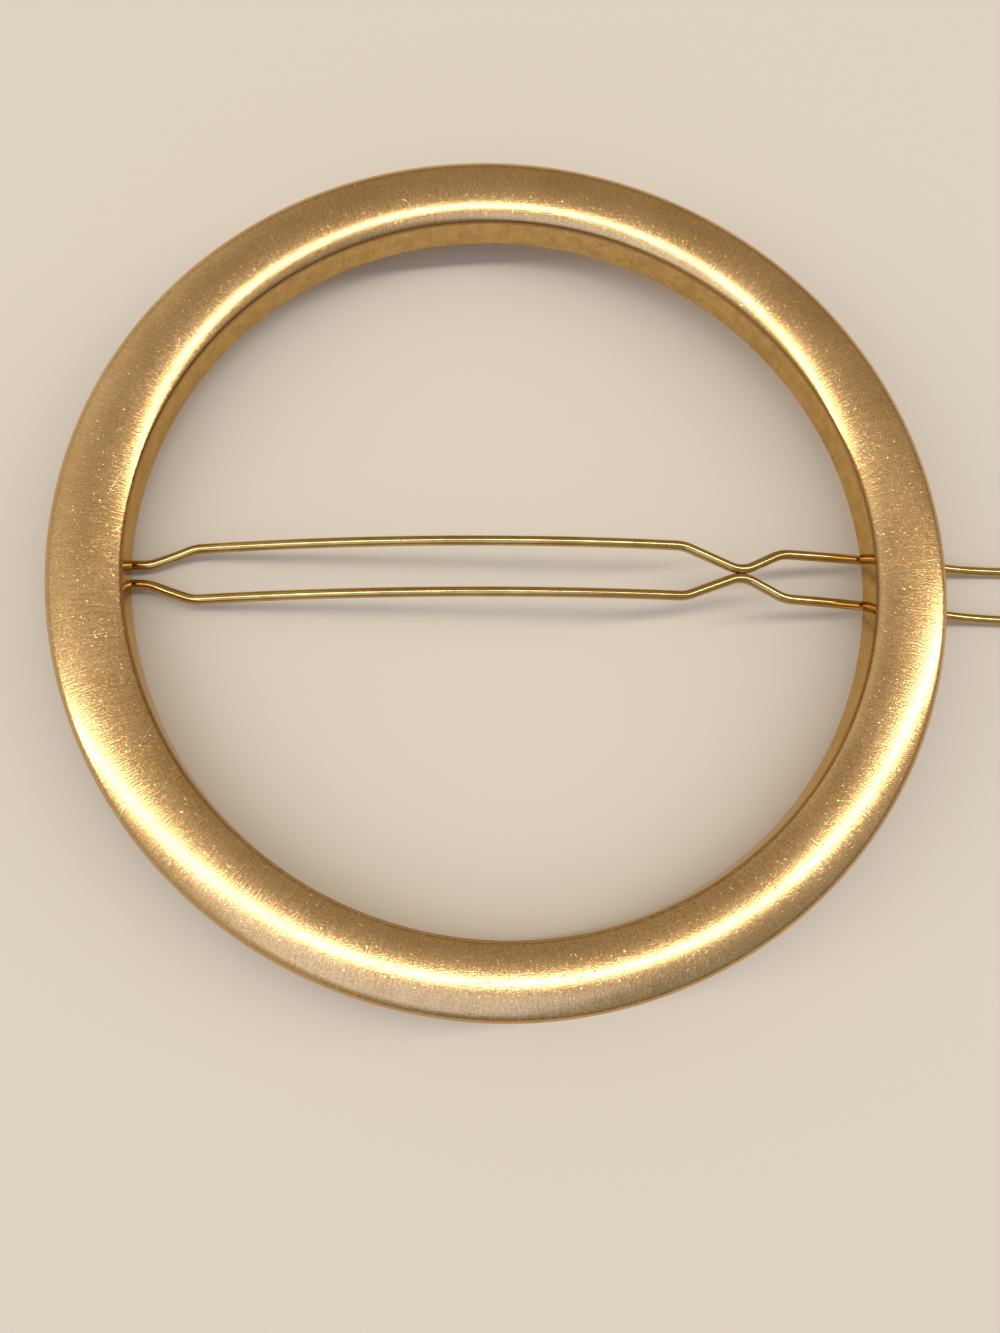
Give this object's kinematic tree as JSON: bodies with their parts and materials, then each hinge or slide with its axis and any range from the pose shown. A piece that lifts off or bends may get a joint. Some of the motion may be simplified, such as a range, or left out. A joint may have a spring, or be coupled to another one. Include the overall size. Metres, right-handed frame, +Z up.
{
  "type": "hair clip",
  "caption": "Round open hair clip: a domed metal ring whose back carries a hinged double-wire closure that snaps over a stud and ends in a finger loop.",
  "frame": {"origin": "middle of the clip's length and width, on the table plane that the finger loop touches", "axes": "+X along the closure from the hinge to the finger loop, +Y across it, +Z up from the closure to the domed face of the ring"},
  "size_m": [0.082, 0.07, 0.0085],
  "materials": {
    "satin_gold": "fine satin pale gold plating over pressed brass sheet",
    "bright_gold": "polished pale gold plating",
    "spring_gold": "bright drawn spring wire with warm gold plating"
  },
  "bodies": {
    "ring": {"ring_cover": "satin_gold", "ring_back_plate": "bright_gold", "hinge_bracket": "bright_gold", "catch_stud": "bright_gold"},
    "wire": {"wire_loop": "spring_gold"}
  },
  "joints": [
    {"name": "wire_hinge", "type": "hinge", "parent": "ring", "child": "wire", "pos_m": [-0.03815, -0.0008, 0.00317], "axis": [0, 1, 0], "range_deg": [0, 90]}
  ]
}
